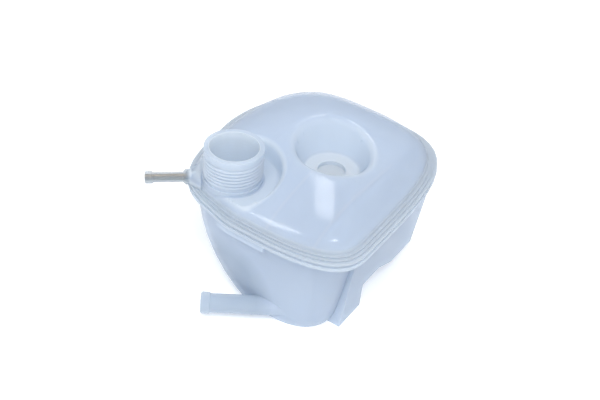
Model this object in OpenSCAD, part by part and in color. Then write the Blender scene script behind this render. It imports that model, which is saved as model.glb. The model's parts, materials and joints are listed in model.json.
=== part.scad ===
// Coolant expansion tank: two moulded shells, welded face to face round a stepped flange and
// at a dished tie in the middle, with a filler neck, a sleeved vent and a hose outlet.
// +Z is up. The origin lies on the base plane, under the middle of the flange.

/* [Outline] */
// Reach of the flange from its widest line to the left side
left_reach = 88; // [82:1:94]
// Reach of the flange from its widest line to the rail side
right_reach = 102; // [96:1:108]
// Reach of the flange from its widest line to the front, on the rail side
front_reach = 47.5; // [44:0.5:52]
// Reach of the flange from its widest line to the back, on the rail side
back_reach = 166.5; // [156:0.5:178]
// Reach of the flange from its widest line to the front, on the left
left_front_reach = 116; // [106:1:126]
// Squareness of the corner beside the filler neck
neck_corner = 1.7; // [1.5:0.1:2]
// How much squarer that corner is at its middle
neck_bulge = 0.7; // [0.4:0.1:1]
// How much nearer the dome comes to the flange's edge at that corner, as a share of the reach
neck_crowding = 0.035; // [0.02:0.005:0.045]
// Squareness of the front corner
front_corner = 3.2; // [2.6:0.1:3.6]
// Squareness of the rail corner
rail_corner = 4; // [3.4:0.1:4.6]
// Squareness of the back corner
back_corner = 2.2; // [2.1:0.1:2.8]
// Thickness of the moulded walls
wall = 2.8; // [2.4:0.1:3.2]

/* [Dome] */
// Height of the dome's top above the flange's lower edge
dome_height = 39.2; // [36:0.2:43]
// Roundness of the dome's shoulder, where 2 is an ellipse
dome_power = 1.6; // [1.5:0.05:1.9]
// Squareness of the outline near the dome's top
top_corner = 3.2; // [2.8:0.1:3.6]
// Place of the dome's top, left to right
apex_x = -14; // [-20:1:-6]
// Place of the dome's top, front to back
apex_y = 33; // [26:1:40]

/* [Bowl] */
// Height of the flange's lower edge above the base
seam_height = 86; // [80:1:94]
// Lean of the left wall over its height
left_lean = 15; // [12:0.5:20]
// Rounding of the left wall into the base
left_bilge = 51.5; // [46:0.5:57]
// Lean of the front wall
front_lean = 3.5; // [3:0.5:8]
// Lean of the rail wall
right_lean = 6; // [4:1:10]
// Lean of the back wall
back_lean = 24; // [18:1:30]
// Rounding of the other walls into the base
base_round = 5; // [3:0.5:8]
// How late the left wall turns under
bilge_power = 3.1; // [2.8:0.1:3.6]
// Squareness of the outline at the base
base_corner = 2.6; // [2.3:0.1:3]

/* [Flange] */
// Width of the stepped flange
flange_w = 8.2; // [7.4:0.2:9.6]
// Thickness of the lower lip
lower_lip_t = 2.4; // [2:0.1:3]
// Thickness of the upper lip
upper_lip_t = 1.8; // [1.4:0.1:2.4]
// Height of the weld groove between the lips
groove_h = 2; // [1.4:0.2:2.6]
// Depth of the weld groove
groove_d = 1.5; // [1:0.1:2]
// Rise of each terrace between the upper lip and the dome
terrace_h = 1.1; // [0.8:0.1:1.4]
// Depth of the lip that hangs from the flange at the front
hanging_lip_h = 5; // [4:0.5:7]
// Thickness of the hanging lip
hanging_lip_t = 2; // [1.6:0.2:2.6]

/* [Filler neck] */
// Distance of the neck's axis from the left side
neck_from_left = 61; // [58:0.5:64]
// Distance of the neck's axis from the front side
neck_from_front = 39.2; // [38:0.2:42]
// Diameter of the neck's tube under its thread
neck_d = 46; // [44:0.5:48]
// Diameter of the plain band round the neck's rim
neck_band_d = 48.4; // [47.4:0.2:49]
// Height of the band
neck_band_h = 4.5; // [3.5:0.5:6]
// Bore of the neck
neck_bore_d = 40; // [37:0.5:41]
// Height of the neck's rim above the flange's lower edge
rim_height = 46; // [43:1:50]
// Radius of the pocket in the dome round the neck
pocket_r = 38; // [35:0.5:40]
// Fillet round the pocket's floor
pocket_fillet = 3; // [2:0.5:4]
// Height of the pocket's floor above the flange's lower edge
pocket_floor = 14.5; // [13:0.5:16]
// Diameter of the collar at the foot of the neck
collar_d = 49; // [48.5:0.5:51]
// Height of the collar
collar_h = 3; // [2:0.5:4]

/* [Welded tie] */
// Place of the tie, left to right
tie_x = 18; // [15:0.5:21]
// Place of the tie, front to back
tie_y = 0.5; // [-3:0.5:4]
// Radius of the dish at the height of the dome's top
dish_r = 36.5; // [34:0.5:38]
// Radius of the dish's floor
dish_floor_r = 24; // [22:0.5:26]
// Height of the dish's floor above the flange's lower edge
dish_floor = 10; // [9.5:0.5:13]
// Fillet round the dish's floor
dish_fillet = 5; // [3:0.5:7]
// Radius of the cup in the dish's floor
cup_r = 12; // [10.5:0.5:13.5]
// Growth of the hollow post's radius down to the base
post_draft = 7; // [5:0.5:9]

/* [Baffles] */
// Thickness of the inner baffles
baffle_t = 2; // [1.6:0.1:2.6]
// Distance of the long baffle from the tie's axis
long_baffle_off = 43.5; // [41:0.5:45]
// Distance of the short baffle from the tie's axis
short_baffle_off = 3; // [0:0.5:6]
// Diameter of the passages through the baffles
passage_d = 14; // [12:0.5:16]

/* [Vent spigot] */
// Diameter of the vent tube
vent_d = 8.6; // [8:0.1:9]
// Diameter of the vent tube's bead
vent_bead_d = 10.4; // [10:0.1:11]
// Length of the vent tube's bead
vent_bead_l = 6; // [4:0.5:7]
// Length of the vent tube beyond the flange
vent_l = 35; // [31:1:39]
// Diameter of the vent tube's root, where it crosses the flange
vent_root_d = 10; // [9.4:0.1:10.2]
// Diameter of the boss at the flange's edge
vent_boss_d = 13; // [12:0.5:14]
// Length of the boss beyond the flange
vent_boss_l = 2; // [1:0.5:4]
// Height of the vent's axis above the flange's lower edge
vent_height = 8.6; // [8.6:0.1:11]
// Place of the vent round the flange, in degrees from the rail side
vent_side = 229.5; // [226:0.5:232]
// Direction of the vent, in degrees from the rail side
vent_turn = 222.5; // [218:0.5:227]
// Diameter of the metal sleeve in the vent
sleeve_d = 5.2; // [4.8:0.1:5.6]
// Wall of the metal sleeve
sleeve_t = 0.5; // [0.4:0.1:0.7]
// Length of the metal sleeve
sleeve_l = 42; // [36:1:44]

/* [Outlet spigot] */
// Diameter of the outlet tube
outlet_d = 16; // [15:0.2:17]
// Diameter of the outlet's bead
outlet_bead_d = 18; // [17.4:0.2:19]
// Length of the outlet's bead
outlet_bead_l = 7; // [5:0.5:9]
// Bore of the outlet
outlet_bore_d = 11.6; // [10.4:0.2:12.4]
// Length of the outlet tube from the front wall
outlet_l = 62; // [54:1:68]
// Height of the outlet's axis above the base
outlet_height = 14; // [12:0.5:17]
// Distance of the outlet's root from the tie's axis, left to right
outlet_off = 14.5; // [11:0.5:17]
// Distance of the outlet's root from the front side
outlet_set_in = 17; // [15:0.5:20]
// Direction of the outlet, in degrees from the rail side
outlet_turn = 215.7; // [210:0.1:222]

/* [Mounting rail] */
// Thickness of the rail plate and its webs
rail_t = 3; // [2.6:0.2:3.4]
// Distance of the rail plate's face from the flange's right edge
rail_set_in = 15; // [14:0.5:17]
// How far the rail plate stands proud of the wall at the flange
rail_proud = 1.5; // [1:0.1:2]
// Distance of the front foot from the front side
foot_from_front = 42; // [40:0.5:46]
// Length of the front foot
foot_l = 33; // [28:1:38]
// Height of the recess behind the foot
recess_h = 24; // [21:1:27]
// Length of the recess
recess_l = 27; // [22:1:32]
// Clearance of the rear shoe above the base
shoe_lift = 14; // [11:1:17]
// Length of the rear shoe
shoe_l = 35; // [30:1:40]

/* [Hidden] */

// Places that follow from the sizes
left_side = -(left_reach + right_reach)/2;
right_side = -left_side;
front_side = -(front_reach + back_reach)/2;
back_side = -front_side;
neck_x = left_side + neck_from_left;
neck_y = front_side + neck_from_front;
lower_lip_z = seam_height + lower_lip_t;
joint_z = lower_lip_z + groove_h/2;
upper_lip_z = lower_lip_z + groove_h;
terrace_z = upper_lip_z + upper_lip_t;
terraces = 3;
dome_root_z = terrace_z + (terraces - 1)*terrace_h;
dome_top_z = seam_height + dome_height;
upper_lip_inset = 0.7;
terrace_w = (flange_w - upper_lip_inset)/terraces;
mid = wall/2;
pocket_z = seam_height + pocket_floor;
neck_l = seam_height + rim_height - upper_lip_z;
pocket_draft = 2;
dish_floor_z = seam_height + dish_floor;
floor_passage_z = wall + passage_d/2;
vent_at = outline_point(vent_side, all_sides(0));
vent_inner_l = flange_w + 2*wall;
vent_boss_z = joint_z + groove_h/4;
sleeve_gap = 0.05;
outlet_inner_l = 20;
rail_x = right_side - rail_set_in;
right_inset = rail_set_in + rail_proud;
rail_slope = 24;
foot_rake = 17.5;
web_reach = 14;
lip_start = 260;
lip_end = 288;
lip_step = 4;
lip_inset = 0.6;
milky = [0.79, 0.85, 0.92, 0.75];
brassy = [0.62, 0.52, 0.38];
cut = 1;

// How late the walls turn into the base, and how late their thickness turns to the floor's
turn_power = 12;
floor_power = 4;

// Steps round the outline and up the surfaces
outline_steps = 80;
dome_steps = 9;
bowl_steps = 9;
dome_turn = 87;
fillet_steps = 6;

// One point of the outline, pulled in from the four sides by [left, right, front, back]. The
// corner powers blend to the power soft as blend goes from 0 to 1, and crowd pushes the neck's
// corner out again.
function outline_point(t, inset, blend = 0, soft = 2, crowd = 0) =
    let (
        c = cos(t),
        s = sin(t),
        corner = c < 0 && s < 0 ? pow(2*c*s, 2) : 0,
        back_half = c >= 0 ? rail_corner : back_corner,
        front_half = c >= 0 ? front_corner : neck_corner + neck_bulge*corner,
        own = s >= 0 ? back_half : front_half,
        power = own + (soft - own)*blend,
        r = (1 + crowd*corner)*pow(pow(abs(c), power) + pow(abs(s), power), -1/power),
        x0 = left_side + inset[0],
        x1 = right_side - inset[1],
        y0 = front_side + inset[2],
        y1 = back_side - inset[3],
        wx = x0 + (x1 - x0)*left_reach/(left_reach + right_reach),
        wy = y0 + (y1 - y0)*(c >= 0 ? front_reach : left_front_reach)/(front_reach + back_reach),
        a = c >= 0 ? x1 - wx : wx - x0,
        b = s >= 0 ? y1 - wy : wy - y0
    )
    [wx + a*r*c, wy + b*r*s];

function all_sides(d) = [d, d, d, d];

// A ring of the outline at one height
function ring(z, inset, blend = 0, soft = 2, crowd = 0) = [
    for (i = [0 : outline_steps - 1])
        let (p = outline_point(360*i/outline_steps, inset, blend, soft, crowd)) [p.x, p.y, z]
];

// A ring of the dome at turn f, from 0 at its root to 90 at its top, lying d under the surface
function dome_ring(f, d) =
    let (
        shrink = pow(cos(f), 2/dome_power),
        rise = pow(sin(f), 2/dome_power),
        z = dome_root_z + (dome_top_z - dome_root_z)*rise - d*sin(f),
        inset = all_sides(flange_w + d*cos(f))
    )
    [for (p = ring(z, inset, rise, top_corner, neck_crowding*(1 - rise)))
        [apex_x + shrink*(p.x - apex_x), apex_y + shrink*(p.y - apex_y), p.z]];

// How far the bowl's four walls have come in at depth u, from 0 at the flange to 1 at the base
function bowl_inset(u, d) =
    let (
        late = pow(u, turn_power),
        side = flange_w + base_round*(1 - sqrt(1 - late)) + d*(1 - late)
    )
    [
        side + left_lean*u + left_bilge*pow(u, bilge_power),
        side + right_inset - flange_w + right_lean*u,
        side + front_lean*u,
        side + back_lean*u
    ];

// A ring of the bowl at depth u, lying d inside the surface
function bowl_ring(u, d) =
    ring(seam_height*(1 - u) + d*pow(u, floor_power), bowl_inset(u, d), u, base_corner);

function depth_step(i) = sin(90*i/bowl_steps);

// A closed solid through a list of rings, with a flat face on its first and last ring
module loft(rings) {
    n = len(rings[0]);
    last = n*(len(rings) - 1);
    sides = [
        for (k = [0 : len(rings) - 2], i = [0 : n - 1])
            let (a = n*k + i, b = n*k + (i + 1) % n) each [[a, a + n, b], [b, a + n, b + n]]
    ];
    polyhedron(
        concat([for (r = rings) each r]),
        concat([[for (i = [0 : n - 1]) i]], sides, [[for (i = [n - 1 : -1 : 0]) last + i]])
    );
}

// Everything enclosed by the dome's surface at depth d
module dome_space(d) {
    loft(concat(
        [ring(joint_z, all_sides(flange_w + d), crowd = neck_crowding)],
        [for (i = [0 : dome_steps]) dome_ring(dome_turn*i/dome_steps, d)]
    ));
}

// Everything enclosed by the bowl's surface at depth d
module bowl_space(d) {
    loft(concat(
        [for (i = [bowl_steps : -1 : 0]) bowl_ring(depth_step(i), d)],
        [ring(joint_z, bowl_inset(0, d))]
    ));
}

// The upper shell's wall: down the inside of the dome, out over the weld face, then up the
// lip, the terraces and the outside of the dome
module dome_skin() {
    loft(concat(
        [for (i = [dome_steps : -1 : 0]) dome_ring(dome_turn*i/dome_steps, wall)],
        [
            ring(joint_z, all_sides(flange_w + wall), crowd = neck_crowding),
            ring(joint_z, all_sides(groove_d)),
            ring(upper_lip_z, all_sides(groove_d)),
            ring(upper_lip_z, all_sides(upper_lip_inset))
        ],
        [
            for (i = [0 : terraces - 1], edge = [0, 1])
                ring(
                    terrace_z + i*terrace_h,
                    all_sides(upper_lip_inset + (i + edge)*terrace_w),
                    crowd = neck_crowding*(i + edge)/terraces
                )
        ],
        [for (i = [1 : dome_steps]) dome_ring(dome_turn*i/dome_steps, 0)]
    ));
}

// The lower shell's wall: up the outside of the bowl, round the lower lip, then down the inside
module bowl_skin() {
    loft(concat(
        [for (i = [bowl_steps : -1 : 0]) bowl_ring(depth_step(i), 0)],
        [
            ring(seam_height, all_sides(0)),
            ring(lower_lip_z, all_sides(0)),
            ring(lower_lip_z, all_sides(groove_d)),
            ring(joint_z, all_sides(groove_d)),
            ring(joint_z, bowl_inset(0, wall))
        ],
        [for (i = [0 : bowl_steps]) bowl_ring(depth_step(i), wall)]
    ));
}

// A tube along +Z with a bead round its mouth
module spigot(d, bead_d, bead_l, l) {
    step = (bead_d - d)/2;
    rotate_extrude()
        polygon([
            [0, 0],
            [d/2, 0],
            [d/2, l - bead_l - step],
            [bead_d/2, l - bead_l],
            [bead_d/2, l - step],
            [d/2, l],
            [0, l]
        ]);
}

// Puts what is drawn along +Z on the vent's axis, starting at its inner end
module on_vent() {
    translate([vent_at.x, vent_at.y, seam_height + vent_height])
        rotate([0, 90, vent_turn])
            translate([0, 0, -vent_inner_l])
                children();
}

// Puts what is drawn along +Z on the outlet's axis, starting inside the bowl
module on_outlet() {
    translate([tie_x + outlet_off, front_side + outlet_set_in, outlet_height])
        rotate([0, 90, outlet_turn])
            translate([0, 0, -outlet_inner_l])
                children();
}

// A round recess with its floor at the origin, a fillet and a drafted wall, grown by g
module recess(floor_r, top_r, h, fillet, g) {
    draft = atan((top_r - floor_r)/h);
    x = floor_r + fillet*tan(draft) - fillet/cos(draft);
    arc = [
        for (i = [0 : fillet_steps])
            let (a = (90 - draft)*i/fillet_steps - 90)
                [x + (fillet + g)*cos(a), fillet + (fillet + g)*sin(a)]
    ];
    rotate_extrude()
        polygon(concat([[0, -g]], arc, [[top_r + g/cos(draft), h], [0, h]]));
}

// The dish and its cup, grown by g
module dish(g) {
    translate([tie_x, tie_y, dish_floor_z])
        recess(dish_floor_r, dish_r, dome_top_z + cut - dish_floor_z, dish_fillet, g);
    translate([tie_x, tie_y, joint_z + wall - g])
        cylinder(h = dish_floor_z - joint_z - wall + cut, r = cup_r + g);
}

// The pocket round the neck, grown by g
module pocket(g) {
    translate([neck_x, neck_y, pocket_z])
        recess(pocket_r, pocket_r + pocket_draft, dome_top_z - pocket_z, pocket_fillet, g);
}

// The two inner baffles from z0 to z1, with round passages half in each shell and at the floor
module baffles(z0, z1) {
    difference() {
        union() {
            translate([tie_x + short_baffle_off - baffle_t/2, front_side, z0])
                cube([baffle_t, tie_y - front_side, z1 - z0]);
            translate([tie_x + long_baffle_off - baffle_t/2, front_side, z0])
                cube([baffle_t, back_side - front_side, z1 - z0]);
        }
        for (y = [front_side/2, back_side/2], z = [floor_passage_z, joint_z])
            translate([tie_x + short_baffle_off - baffle_t, y, z])
                rotate([0, 90, 0])
                    cylinder(h = long_baffle_off - short_baffle_off + 2*baffle_t, d = passage_d);
    }
}

// Puts an outline drawn as (y, z) on the rail's outer face and gives it the thickness t inwards
module from_side(t) {
    translate([rail_x - t, 0, 0])
        rotate([90, 0, 90])
            linear_extrude(t)
                children();
}

// The mounting rail: a plate with a foot and a raised shoe, and webs to the bowl's wall
module rail() {
    foot_y = front_side + foot_from_front;
    toe_y = foot_y + foot_l;
    shoe_y = toe_y + recess_l + rail_slope;
    back_y = shoe_y + shoe_l;
    plate = [
        [foot_y, 0],
        [toe_y, 0],
        [toe_y, recess_h],
        [toe_y + recess_l, recess_h],
        [shoe_y, shoe_lift],
        [back_y, shoe_lift],
        [back_y + rail_slope, seam_height + lower_lip_t/2],
        [foot_y + foot_rake, seam_height + lower_lip_t/2]
    ];
    top = seam_height + lower_lip_t/2;
    front_web = [
        [foot_y, 0],
        [foot_y + rail_t, 0],
        [foot_y + foot_rake + rail_t, top],
        [foot_y + foot_rake, top]
    ];
    from_side(rail_t)
        polygon(plate);
    from_side(web_reach)
        polygon(front_web);
    for (web = [[toe_y - rail_t, 0], [toe_y + recess_l, recess_h], [back_y - rail_t, shoe_lift]])
        translate([rail_x - web_reach, web.x, web.y])
            cube([web_reach, rail_t, top - web.y]);
}

// The short lip that hangs under the flange at the front
module hanging_lip() {
    outside = all_sides(lip_inset);
    inside = all_sides(lip_inset + hanging_lip_t);
    outer = [for (t = [lip_start : lip_step : lip_end]) outline_point(t, outside)];
    inner = [for (t = [lip_end : -lip_step : lip_start]) outline_point(t, inside)];
    translate([0, 0, seam_height - hanging_lip_h])
        linear_extrude(hanging_lip_h + lower_lip_t/2)
            polygon(concat(outer, inner));
}

// The boss that carries the vent tube over the flange's edge, flat underneath to clear the
// lower lip
module vent_boss() {
    intersection() {
        on_vent()
            translate([0, 0, vent_inner_l - wall]) {
                cylinder(h = wall + vent_boss_l, d = vent_boss_d);
                translate([0, 0, wall + vent_boss_l])
                    cylinder(h = (vent_boss_d - vent_d)/2, d1 = vent_boss_d, d2 = vent_d);
            }
        translate([vent_at.x - vent_l, vent_at.y - vent_l, vent_boss_z])
            cube([2*vent_l, 2*vent_l, vent_boss_d]);
    }
}

module upper_shell() {
    color(milky)
        difference() {
            union() {
                difference() {
                    union() {
                        dome_skin();
                        intersection() {
                            dome_space(mid);
                            union() {
                                dish(wall);
                                pocket(wall);
                                baffles(joint_z, dome_top_z);
                            }
                        }
                    }
                    dish(0);
                    pocket(0);
                }
                translate([neck_x, neck_y, upper_lip_z]) {
                    cylinder(h = neck_l, d = neck_d);
                    cylinder(h = pocket_z + collar_h - upper_lip_z, d = collar_d);
                    translate([0, 0, neck_l - neck_band_h])
                        cylinder(h = neck_band_h, d = neck_band_d);
                }
                on_vent() {
                    spigot(vent_d, vent_bead_d, vent_bead_l, vent_inner_l + vent_l);
                    cylinder(h = vent_inner_l, d = vent_root_d);
                }
                vent_boss();
            }
            translate([neck_x, neck_y, joint_z])
                cylinder(h = rim_height + cut, d = neck_bore_d);
            on_vent()
                translate([0, 0, -cut])
                    cylinder(h = vent_inner_l + vent_l + 2*cut, d = sleeve_d + 2*sleeve_gap);
        }
}

module lower_shell() {
    color(milky)
        difference() {
            union() {
                bowl_skin();
                difference() {
                    union() {
                        on_outlet()
                            spigot(outlet_d, outlet_bead_d, outlet_bead_l, outlet_inner_l + outlet_l);
                        rail();
                    }
                    bowl_space(mid);
                }
                intersection() {
                    bowl_space(mid);
                    union() {
                        translate([tie_x, tie_y, 0])
                            cylinder(h = joint_z, r1 = cup_r + wall + post_draft, r2 = cup_r + wall);
                        baffles(0, joint_z);
                    }
                }
                hanging_lip();
            }
            translate([tie_x, tie_y, -cut])
                cylinder(h = joint_z - wall + cut, r1 = cup_r + post_draft, r2 = cup_r);
            on_outlet()
                translate([0, 0, -cut])
                    cylinder(h = outlet_inner_l + outlet_l + 2*cut, d = outlet_bore_d);
        }
}

module vent_sleeve() {
    color(brassy)
        on_vent()
            translate([0, 0, vent_inner_l + vent_l - sleeve_l])
                difference() {
                    cylinder(h = sleeve_l, d = sleeve_d);
                    translate([0, 0, -cut])
                        cylinder(h = sleeve_l + 2*cut, d = sleeve_d - 2*sleeve_t);
                }
}

upper_shell();
lower_shell();
vent_sleeve();
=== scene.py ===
import json
import math
import bmesh
import bpy
from mathutils import Matrix, Vector
from mathutils.bvhtree import BVHTree


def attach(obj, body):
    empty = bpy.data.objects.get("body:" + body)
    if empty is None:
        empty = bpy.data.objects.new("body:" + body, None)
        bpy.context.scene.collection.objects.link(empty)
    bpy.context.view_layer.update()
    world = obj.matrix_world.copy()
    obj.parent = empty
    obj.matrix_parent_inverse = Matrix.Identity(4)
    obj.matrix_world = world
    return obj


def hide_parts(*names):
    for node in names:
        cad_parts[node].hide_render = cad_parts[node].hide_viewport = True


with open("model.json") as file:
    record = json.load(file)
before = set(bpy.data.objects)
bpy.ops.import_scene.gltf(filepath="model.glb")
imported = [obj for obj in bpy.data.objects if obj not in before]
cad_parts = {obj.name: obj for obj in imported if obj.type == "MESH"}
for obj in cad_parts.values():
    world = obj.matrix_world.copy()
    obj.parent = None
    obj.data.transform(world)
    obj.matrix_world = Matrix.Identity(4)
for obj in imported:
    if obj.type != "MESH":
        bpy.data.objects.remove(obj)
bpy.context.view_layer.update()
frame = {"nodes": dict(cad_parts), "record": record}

scene = bpy.context.scene

# The view: the tank is turned by about a third of a right angle and seen from well above, by a
# camera that hangs a little out of level. Colours are shown as they are, so that white plastic
# on a white sweep stays white.
target = Vector((0.0144, -0.0399, 0.086))
turn, tilt, roll = math.radians(30.6), math.radians(38.9), math.radians(6.35)
away = 0.7
sensor_mm, picture_px, focal_px = 36, 600, 854
back = Vector((math.sin(turn) * math.cos(tilt), -math.cos(turn) * math.cos(tilt), math.sin(tilt)))
side = Vector((math.cos(turn), math.sin(turn), 0))
up = back.cross(side)
right = side * math.cos(roll) + up * math.sin(roll)
above = up * math.cos(roll) - side * math.sin(roll)
facing = Matrix((right, above, back)).transposed().to_4x4()
camera_data = bpy.data.cameras.new("camera")
camera_data.sensor_width = sensor_mm
camera_data.lens = sensor_mm * focal_px / picture_px
camera = bpy.data.objects.new("camera", camera_data)
camera.matrix_world = Matrix.Translation(target + back * away) @ facing
scene.collection.objects.link(camera)
scene.camera = camera
scene.view_settings.view_transform = "Standard"
scene.cycles.transparent_max_bounces = 32
scene.cycles.diffuse_bounces = 8

# The studio: a sweep of matt white board under the tank, an even white surround, one broad lamp
# on the camera's side that fills, and three softboxes that show only as glints on the plastic.


class Socket:
    """A shader output that can be used in Python arithmetic."""

    def __init__(self, tree, output):
        self.tree, self.output = tree, output

    def _math(self, operation, *values):
        return self.tree.node("ShaderNodeMath", {"operation": operation}, values)

    def __add__(self, other):
        return self._math("ADD", self, other)

    def __sub__(self, other):
        return self._math("SUBTRACT", self, other)

    def __rsub__(self, other):
        return self._math("SUBTRACT", other, self)

    def __mul__(self, other):
        return self._math("MULTIPLY", self, other)

    __radd__ = __add__
    __rmul__ = __mul__

    def over(self, low, fade):
        """1 over the limit, falling to 0 within the fade below it."""
        return self.tree.node("ShaderNodeMapRange", {"clamp": True}, [self, low - fade, low, 0.0, 1.0])

    def under(self, high, fade):
        """1 under the limit, falling to 0 within the fade above it."""
        return self.tree.node("ShaderNodeMapRange", {"clamp": True}, [self, high, high + fade, 1.0, 0.0])

    def between(self, low, high, fade):
        return self.over(low, fade) * self.under(high, fade)


class Material:
    """A node material that is built by calls."""

    def __init__(self, name):
        self.material = bpy.data.materials.new(name)
        self.material.use_nodes = True
        self.tree = self.material.node_tree
        self.shader = self.tree.nodes["Principled BSDF"]

    def node(self, kind, settings, values=(), output=0):
        """A node with its settings, the values or links of its sockets, and one of its outputs."""
        made = self.tree.nodes.new(kind)
        for key, value in settings.items():
            setattr(made, key, value)
        pairs = values.items() if isinstance(values, dict) else enumerate(values)
        for key, value in pairs:
            if isinstance(value, Socket):
                self.tree.links.new(value.output, made.inputs[key])
            else:
                made.inputs[key].default_value = value
        return Socket(self, made.outputs[output])

    def place(self):
        return self.node("ShaderNodeTexCoord", {}, output="Object")

    def axes(self, point):
        made = self.node("ShaderNodeSeparateXYZ", {}, [point])
        return [Socket(self, made.output.node.outputs[axis]) for axis in "XYZ"]

    def vector(self, operation, first, second):
        return self.node("ShaderNodeVectorMath", {"operation": operation}, [first, second])

    def distance(self, first, second):
        values = [first, second]
        return self.node("ShaderNodeVectorMath", {"operation": "DISTANCE"}, values, output="Value")

    def noise(self, point, scale, detail=2.0, stretch=(1, 1, 1)):
        values = {"Vector": self.vector("MULTIPLY", point, stretch), "Scale": scale, "Detail": detail}
        return self.node("ShaderNodeTexNoise", {}, values)

    def mix(self, factor, first, second):
        values = {"Factor": factor, 6: first, 7: second}
        return self.node("ShaderNodeMix", {"data_type": "RGBA"}, values, output=2)

    def set(self, **inputs):
        for key, value in inputs.items():
            socket = self.shader.inputs[key.replace("_", " ")]
            if isinstance(value, Socket):
                self.tree.links.new(value.output, socket)
            else:
                socket.default_value = value


def in_scene(name, mesh):
    """An object at the origin that holds the mesh."""
    data = bpy.data.meshes.new(name)
    mesh.to_mesh(data)
    mesh.free()
    made = bpy.data.objects.new(name, data)
    scene.collection.objects.link(made)
    return made


def softbox(name, azimuth, elevation, far, width, height, radiance, glint):
    """A lamp turned to the tank: one for glints only shows in gloss, any other only fills."""
    a, e = math.radians(azimuth), math.radians(elevation)
    way = Vector((math.cos(a) * math.cos(e), math.sin(a) * math.cos(e), math.sin(e)))
    data = bpy.data.lights.new(name, "AREA")
    data.shape, data.size, data.size_y = "RECTANGLE", width, height
    data.energy = radiance * math.pi * width * height
    lamp = bpy.data.objects.new(name, data)
    turned = way.to_track_quat("Z", "Y").to_matrix().to_4x4()
    lamp.matrix_world = Matrix.Translation(Vector((0, 0, lamps_aim_z)) + way * far) @ turned
    lamp.visible_glossy, lamp.visible_diffuse = glint, not glint
    scene.collection.objects.link(lamp)


sweep_half_width, lamps_aim_z = 6, 0.1
floor_mesh = bmesh.new()
bmesh.ops.create_grid(floor_mesh, x_segments=1, y_segments=1, size=sweep_half_width)
floor = in_scene("floor", floor_mesh)
sweep = Material("white_sweep")
sweep.set(Base_Color=(0.96, 0.97, 0.98, 1), Roughness=1.0, Specular_IOR_Level=0.0)
sweep.set(Emission_Color=(1, 1, 1, 1), Emission_Strength=0.18)
floor.data.materials.append(sweep.material)

world = bpy.data.worlds.new("studio")
world.use_nodes = True
surround = world.node_tree.nodes["Background"].inputs
surround["Color"].default_value = (0.98, 0.99, 1.0, 1)
surround["Strength"].default_value = 0.75
scene.world = world

softbox("front_fill", -60, 58, far=1.6, width=1.2, height=0.8, radiance=6.4, glint=False)
softbox("overhead", 117, 66, far=1.2, width=0.26, height=0.5, radiance=16, glint=True)
softbox("left_box", -126, 60, far=1.2, width=0.22, height=0.4, radiance=18, glint=True)
softbox("right_box", -24, 72, far=1.2, width=0.2, height=0.16, radiance=24, glint=True)

# The upper and the lower shell are two injection mouldings of milky polypropylene, 2.8 mm thick
# and welded together at their flanges. Their form is the solids' own, shaded smooth. Light goes
# through the wall, so its tone changes with what lies behind it and with how thick it is; besides
# that, painted light lifts the hollows and painted shade darkens the bowl and the outlet tube.
mounts = {mount["name"]: mount for mount in frame["record"]["mounts"]}
openings = {opening["name"]: opening for opening in frame["record"]["physics"]["openings"]}
neck, vent, outlet = (Vector(mounts[name]["pos_m"]) for name in ("filler_neck", "vent", "outlet"))
dish_low, dish_high = (Vector(corner) for corner in openings["dish"]["box_m"])
dish = (dish_low + dish_high) / 2

milk = Material("milky_polypropylene")
where = milk.place()
x, y, z = milk.axes(where)
flat = milk.vector("MULTIPLY", where, (1, 1, 0))
from_neck = milk.distance(flat, (neck.x, neck.y, 0))
from_dish = milk.distance(flat, (dish.x, dish.y, 0))

# Each mask below is 1 on one stretch of the mouldings and 0 elsewhere.
flange = z.between(0.0865, 0.0962, 0.001)
bowl = z.under(0.084, 0.003)
pocket = z.over(0.1, 0.002) * from_neck.under(0.0405, 0.003)
neck_tube = z.over(0.1, 0.002) * from_neck.under(0.0255, 0.001)
neck_bore = z.over(0.09, 0.002) * from_neck.under(0.0204, 0.0002)
vent_tube = milk.distance(where, vent).under(0.034, 0.003)
outlet_tube = milk.distance(where, outlet).under(0.046, 0.014)
in_dish = z.over(0.0985, 0.002) * from_dish.under(0.034, 0.004)
dish_floor = z.between(0.088, 0.0975, 0.001) * from_dish.under(0.022, 0.004)

# The upright baffles inside show through the dome as two light lines.
short_baffle, long_baffle, half_line = dish.x + 0.003, dish.x + 0.0435, 0.0006
baffle_lines = z.over(0.0965, 0.001) * (
    x.between(short_baffle - half_line, short_baffle + half_line, 0.0012) * y.under(dish.y - 0.045, 0.02)
    + x.between(long_baffle - half_line, long_baffle + half_line, 0.0012) * y.under(dish.y, 0.03)
)

# The thread's turns show through the neck's wall as lighter lines that climb with it.
pitch, turns, thread_low = 0.0031, 6.8, neck.z - 0.0272
heading = milk.node("ShaderNodeMath", {"operation": "ARCTAN2"}, [y - neck.y, x - neck.x])
climb = (z - thread_low) * (1 / pitch) - heading * (1 / (2 * math.pi))
off_turn = milk.node("ShaderNodeMath", {"operation": "PINGPONG"}, [climb, 0.5]) * 2.0
thread_zone = z.between(thread_low, thread_low + turns * pitch, 0.0015) * from_neck.under(0.026, 0.001)
thread_lines = (1.0 - off_turn) * thread_zone

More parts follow.
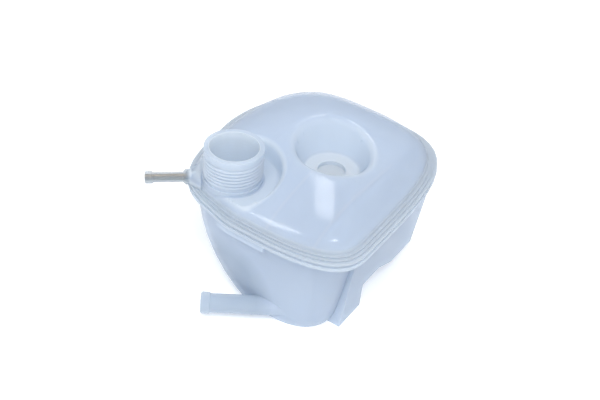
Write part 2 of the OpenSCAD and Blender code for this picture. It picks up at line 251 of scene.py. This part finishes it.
tone = milk.mix(milk.noise(where, 18.0, detail=3.0), (0.66, 0.745, 0.86, 1), (0.71, 0.79, 0.9, 1))
for share, color in (
    # painted light: the dish, the pocket's wall and the neck's bore are lightened against the shade that
    # falls in them
    (in_dish * 0.5 + (pocket - neck_tube) * 0.75 + neck_bore, (0.87, 0.93, 0.98, 1)),
    # painted shade: the bowl below the flange is darkened, as it gets less light from above
    (bowl * 0.22, (0.52, 0.59, 0.65, 1)),
    (flange * 0.8 + (neck_tube - neck_bore) * 0.35, (0.62, 0.68, 0.74, 1)),
    (baffle_lines * 0.35, (0.80, 0.84, 0.90, 1)),
    (thread_lines * 0.5, (0.86, 0.90, 0.94, 1)),
    # the outlet tube's darker share is painted shade where floor and fill light it too much; the vent
    # tube's wall is darker all over
    (vent_tube * 0.7 + outlet_tube * 0.25, (0.34, 0.41, 0.47, 1)),
    (dish_floor * 0.6, (0.86, 0.90, 0.93, 1)),
):
    tone = milk.mix(share, tone, color)
waves = milk.noise(where, 30.0, detail=1.0)
flow_lines = milk.noise(where, 260.0, detail=2.0, stretch=(1, 1, 0.2))
height = waves * 0.8 + flow_lines * 0.04
bump = milk.node("ShaderNodeBump", {}, {"Strength": 0.5, "Distance": 0.0009, "Height": height})
gloss = flange * 0.3 + pocket * 0.15 + 0.1
milk.set(Base_Color=tone, Roughness=gloss, IOR=1.49, Specular_IOR_Level=0.3, Normal=bump)
milk.set(Subsurface_Weight=0.6, Subsurface_Radius=(1.0, 1.0, 1.0), Subsurface_Scale=0.003)

# Part of the light passes the wall scattered, and a part passes it straight, most of it where
# the wall is thin.
scattered_share = 0.4
density = 0.62 + bowl * 0.12 + flange * 0.23 + pocket * 0.1 - vent_tube * 0.3 - outlet_tube * 0.08
surface = Socket(milk, milk.shader.outputs[0])
scattered = milk.node("ShaderNodeBsdfTranslucent", {}, {"Color": tone})
straight = milk.node("ShaderNodeBsdfTransparent", {})
wall = milk.node("ShaderNodeMixShader", {}, [scattered_share, surface, scattered])
shown = milk.node("ShaderNodeMixShader", {}, [density, straight, wall])
milk.tree.links.new(shown.output, milk.tree.nodes["Material Output"].inputs[0])


def smooth_by_angle(mesh, degrees):
    for face in mesh.faces:
        face.smooth = True
    for edge in mesh.edges:
        edge.smooth = len(edge.link_faces) == 2 and edge.calc_face_angle() < math.radians(degrees)


def moulding(node, name, cutters=()):
    """A smooth copy of a solid in the milky plastic, less what the cutters take off."""
    same_point, cut_sliver = 2e-6, 1e-5
    mesh = bmesh.new()
    mesh.from_mesh(frame["nodes"][node].data)
    bmesh.ops.remove_doubles(mesh, verts=mesh.verts, dist=same_point)
    piece = in_scene(name, mesh)
    for cutter in cutters:
        modifier = piece.modifiers.new(cutter.name, "BOOLEAN")
        modifier.operation, modifier.solver, modifier.object = "DIFFERENCE", "EXACT", cutter
    finished = bmesh.new()
    finished.from_mesh(piece.evaluated_get(bpy.context.evaluated_depsgraph_get()).data)
    if cutters:
        bmesh.ops.remove_doubles(finished, verts=finished.verts, dist=cut_sliver)
    piece.modifiers.clear()
    for cutter in cutters:
        bpy.data.objects.remove(cutter)
    smooth_by_angle(finished, 30)
    finished.to_mesh(piece.data)
    finished.free()
    piece.data.materials.append(milk.material)
    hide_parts(node)
    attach(piece, "root")


# Where the upper shell's dome turns down into the dish and the pocket, its rim is rounded over
# by the mould. Here a ring that follows the rim takes the sharp corner off the solid.
dome = bmesh.new()
dome.from_mesh(frame["nodes"]["upper_shell"].data)
dome_tree = BVHTree.FromBMesh(dome)
dome.free()
over_all, bend_steps = 0.2, 7


def rim_profile(centre, a, inner, outer, deep, shallow, floor_z):
    """The ring's section at angle a: from outside, the rounded corner, the wall and the top."""
    samples, below_floor = 400, floor_z - 0.009
    line = []
    for i in range(samples + 1):
        r = inner + (outer - inner) * i / samples
        start = Vector((centre.x + r * math.cos(a), centre.y + r * math.sin(a), over_all))
        hit = dome_tree.ray_cast(start, Vector((0, 0, -1)))[0]
        line.append(Vector((r, max(hit.z, below_floor) if hit else below_floor)))
    chord = (line[-1] - line[0]).normalized()
    bulges = [chord.cross(point - line[0]) for point in line]
    top = max(range(samples + 1), key=lambda i: bulges[i])
    corner = line[top]
    wall_height = corner.y - floor_z
    reach = min(deep, shallow + max(0.0, wall_height) * 0.5)

    def along(step):
        i, left = top, reach
        while 0 < i < samples and left > 0:
            left -= (line[i + step] - line[i]).length
            i += step
        return line[i]

    first, last = along(1), along(-1)
    outside, inside = first.x + 0.0015, last.x - 0.001
    points = [first + (first - corner).normalized() * 0.0015 + Vector((0, 0.0005))]
    for i in range(bend_steps + 1):
        t = i / bend_steps
        points.append(first * (1 - t) ** 2 + corner * 2 * t * (1 - t) + last * t * t)
    top_z = max(point.y for point in line) + 0.004
    points += [Vector((inside, last.y + 0.0001)), Vector((inside, top_z)), Vector((outside, top_z))]

    # Where the hollow has no wall to round, the ring stays clear of the solid.
    lowest_wall, fade, clear = 0.004, 0.002, 0.014
    lift = clear * min(1.0, max(0.0, (lowest_wall - wall_height) / fade))
    return [point + Vector((0, lift)) for point in points]


def rim_cutter(name, centre, inner, outer, deep, shallow, floor_z):
    """A closed ring round the hollow at centre whose underside is the rounded rim.

    The rounding reaches deep metres from the corner where the wall is high, and shallow
    metres where it runs out.
    """
    sections, apart = 120, 0.001
    step = 2 * math.pi / sections
    mesh = bmesh.new()
    ring = [
        mesh.verts.new((centre.x + inner + apart * i, centre.y, over_all + apart * (i % 2)))
        for i in range(bend_steps + 4)
    ]
    edges = [mesh.edges.new((ring[i - 1], ring[i])) for i in range(len(ring))]
    bmesh.ops.spin(
        mesh, geom=ring + edges, cent=(centre.x, centre.y, 0), axis=(0, 0, 1), angle=2 * math.pi,
        steps=sections, use_merge=True,
    )
    profiles = [
        rim_profile(centre, turned * step, inner, outer, deep, shallow, floor_z)
        for turned in range(sections)
    ]
    for vert in mesh.verts:
        dx, dy = vert.co.x - centre.x, vert.co.y - centre.y
        turned = round(math.atan2(dy, dx) / step) % sections
        r, height = profiles[turned][round((math.hypot(dx, dy) - inner) / apart)]
        vert.co.x = centre.x + r * math.cos(turned * step)
        vert.co.y = centre.y + r * math.sin(turned * step)
        vert.co.z = height
    bmesh.ops.recalc_face_normals(mesh, faces=mesh.faces)
    if mesh.calc_volume(signed=True) < 0:
        bmesh.ops.reverse_faces(mesh, faces=mesh.faces)
    bmesh.ops.triangulate(mesh, faces=mesh.faces, quad_method="SHORT_EDGE")

    # The faces are put in one fixed order, so that the cut comes out the same each time.
    slanted = Vector((1.0, 1.7, 2.9))
    mesh.faces.sort(key=lambda face: face.calc_center_median().dot(slanted))
    return in_scene(name, mesh)


dish_rim = rim_cutter(
    "dish_rim", dish, inner=0.026, outer=0.043, deep=0.006, shallow=0.001, floor_z=dish_low.z,
)
pocket_rim = rim_cutter(
    "pocket_rim", neck, inner=0.034, outer=0.046, deep=0.005, shallow=0.0008, floor_z=0.1005,
)
moulding("upper_shell", "upper_moulding", [dish_rim, pocket_rim])
moulding("lower_shell", "lower_moulding")


def moulded_on(name, mesh):
    """A small form that belongs to the upper shell's moulding."""
    piece = in_scene(name, mesh)
    piece.data.materials.append(milk.material)
    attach(piece, "root")


# The filler neck's thread is one raised spiral of the same plastic with a rounded crest, moulded
# round the tube below its plain band. It runs out flat at both ends.
root_r, crest_r, half_thick = 0.0229, 0.0242, 0.00125
steps_a_turn, run_out_steps = 72, 16

# Each point of the section gives a share of the crest's stand and a height along the neck.
half_section = [(0.0, half_thick), (0.55, 0.00085), (0.92, 0.0004)]
section = [(k, -h) for k, h in half_section] + [(1.0, 0.0)] + half_section[::-1]
bottom = Vector((neck.x, neck.y, thread_low))
thread_mesh = bmesh.new()
ring = [
    thread_mesh.verts.new(bottom + Vector((root_r + (crest_r - root_r) * k, 0, h)))
    for k, h in section
]
edges = [thread_mesh.edges.new((ring[i - 1], ring[i])) for i in range(len(ring))]
steps = round(turns * steps_a_turn)
bmesh.ops.spin(
    thread_mesh, geom=ring + edges, cent=bottom, axis=(0, 0, 1), dvec=(0, 0, pitch / steps_a_turn),
    angle=turns * 2 * math.pi, steps=steps, use_merge=False,
)
ends = [edge for edge in thread_mesh.edges if edge.is_boundary]
bmesh.ops.holes_fill(thread_mesh, edges=ends, sides=len(ring))
bmesh.ops.recalc_face_normals(thread_mesh, faces=thread_mesh.faces)
for i, vert in enumerate(thread_mesh.verts):
    step = i // len(ring)
    share = min(1, step / run_out_steps, (steps - step) / run_out_steps)
    outward = Vector((vert.co.x - neck.x, vert.co.y - neck.y, 0))
    stand = root_r + (outward.length - root_r) * share
    vert.co.x, vert.co.y = (neck + outward.normalized() * stand).xy
smooth_by_angle(thread_mesh, 55)
moulded_on("neck_thread", thread_mesh)

# The corner of the upper flange draws out into the vent tube in a flattened cone, moulded in
# one with the shell, whose thin end is rounded onto the tube.
gusset_wide_r, gusset_thin_r, gusset_l, flatness = 0.0175, 0.0052, 0.0125, 0.36
gusset_from_mouth = 0.0385
vent_way = Vector(mounts["vent"]["axis"])
gusset_mesh = bmesh.new()
bmesh.ops.create_cone(
    gusset_mesh, cap_ends=True, cap_tris=False, segments=48, radius1=gusset_wide_r,
    radius2=gusset_thin_r, depth=gusset_l,
)
bmesh.ops.scale(gusset_mesh, vec=(flatness, 1, 1), verts=gusset_mesh.verts)
thin_end = [edge for edge in gusset_mesh.edges if all(vert.co.z > 0 for vert in edge.verts)]
bmesh.ops.bevel(
    gusset_mesh, geom=thin_end, offset=0.0008, offset_type="OFFSET", affect="EDGES", segments=3,
    profile=0.5, material=-1,
)
along_vent = Matrix((
    (0, -vent_way.y, vent_way.x, 0),
    (0, vent_way.x, vent_way.y, 0),
    (1, 0, 0, 0),
    (0, 0, 0, 1),
))
seat = Matrix.Translation(vent - vent_way * gusset_from_mouth)
bmesh.ops.transform(gusset_mesh, verts=gusset_mesh.verts, matrix=seat @ along_vent)
bmesh.ops.recalc_face_normals(gusset_mesh, faces=gusset_mesh.faces)
smooth_by_angle(gusset_mesh, 40)
moulded_on("vent_gusset", gusset_mesh)

# Three fine ribs, part of the dome's moulding, stand side by side on its front slope below the
# pocket. Their edges are rounded.
rib_size, rib_slope = (0.0005, 0.0076, 0.0008), Matrix.Rotation(math.radians(44), 3, "X")
middle_rib, rib_gap = Vector((-0.0165, -0.0936, 0.0987)), Vector((0.003, -0.0003, 0))
ribs_mesh = bmesh.new()
for i in (-1, 0, 1):
    rib = bmesh.ops.create_cube(ribs_mesh, size=1)["verts"]
    bmesh.ops.scale(ribs_mesh, vec=rib_size, verts=rib)
    bmesh.ops.rotate(ribs_mesh, cent=(0, 0, 0), matrix=rib_slope, verts=rib)
    bmesh.ops.translate(ribs_mesh, vec=middle_rib + rib_gap * i, verts=rib)
bmesh.ops.bevel(
    ribs_mesh, geom=ribs_mesh.edges[:], offset=0.00015, offset_type="OFFSET", affect="EDGES",
    segments=2, profile=0.5, material=-1,
)
smooth_by_angle(ribs_mesh, 50)
moulded_on("slope_ribs", ribs_mesh)

# The sleeve is a thin drawn metal tube, pressed into the vent tube, which shows it through its
# wall. Its tarnish is blotched, and its inner face is painted near-black as the shade inside its bore.
inner_face_r = 0.00222
metal = Material("drawn_sleeve")
spot = metal.place()
off_axis = metal.vector("CROSS_PRODUCT", metal.vector("SUBTRACT", spot, vent), vent_way)
inner_face = metal.distance(off_axis, (0, 0, 0)).under(inner_face_r, 0.0001)
tarnish = metal.noise(spot, 60.0)
drawn = metal.noise(spot, 420.0, detail=3.0)
outside = metal.mix(tarnish, (0.40, 0.27, 0.13, 1), (0.56, 0.42, 0.25, 1))
# The inner face's near-black colour is painted shade.
metal.set(Base_Color=metal.mix(inner_face, outside, (0.08, 0.055, 0.04, 1)))
metal.set(Metallic=0.6, Roughness=0.3 + drawn * 0.25)
for slot in frame["nodes"]["vent_sleeve"].material_slots:
    slot.material = metal.material
